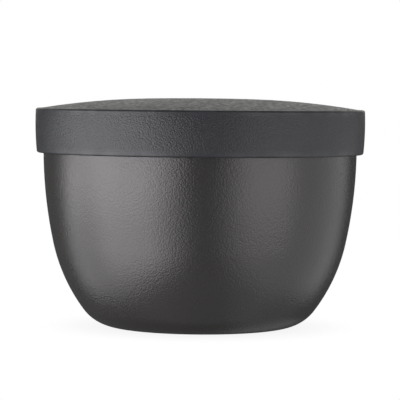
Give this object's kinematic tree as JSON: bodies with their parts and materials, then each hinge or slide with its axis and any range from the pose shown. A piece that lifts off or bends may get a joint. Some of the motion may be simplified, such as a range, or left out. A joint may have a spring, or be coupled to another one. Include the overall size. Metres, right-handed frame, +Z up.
{
  "type": "go stone bowl",
  "caption": "Round grained plastic bowl for go stones, with a loose domed lid whose deep skirt overlaps the neck and rests on the rim.",
  "frame": {"origin": "centre of the plane that the foot ring stands on, on the axis of the bowl", "axes": "+Z up along the axis that the bowl and the lid share; +X and +Y are interchangeable, because both pieces are round"},
  "size_m": [0.13, 0.13, 0.0902],
  "materials": {
    "bowl_plastic": "dark warm grey moulding with a fine leather grain outside, smoother and satin inside and under the foot",
    "lid_plastic": "darker, cooler grey moulding with the same fine leather grain outside, smoother and satin underneath"
  },
  "bodies": {
    "bowl": {"bowl": "bowl_plastic"},
    "lid": {"lid": "lid_plastic"}
  },
  "joints": [
    {"name": "lid_lift", "type": "slide", "parent": "bowl", "child": "lid", "axis": [0, 0, 1], "range_m": [0, 0.12]}
  ]
}
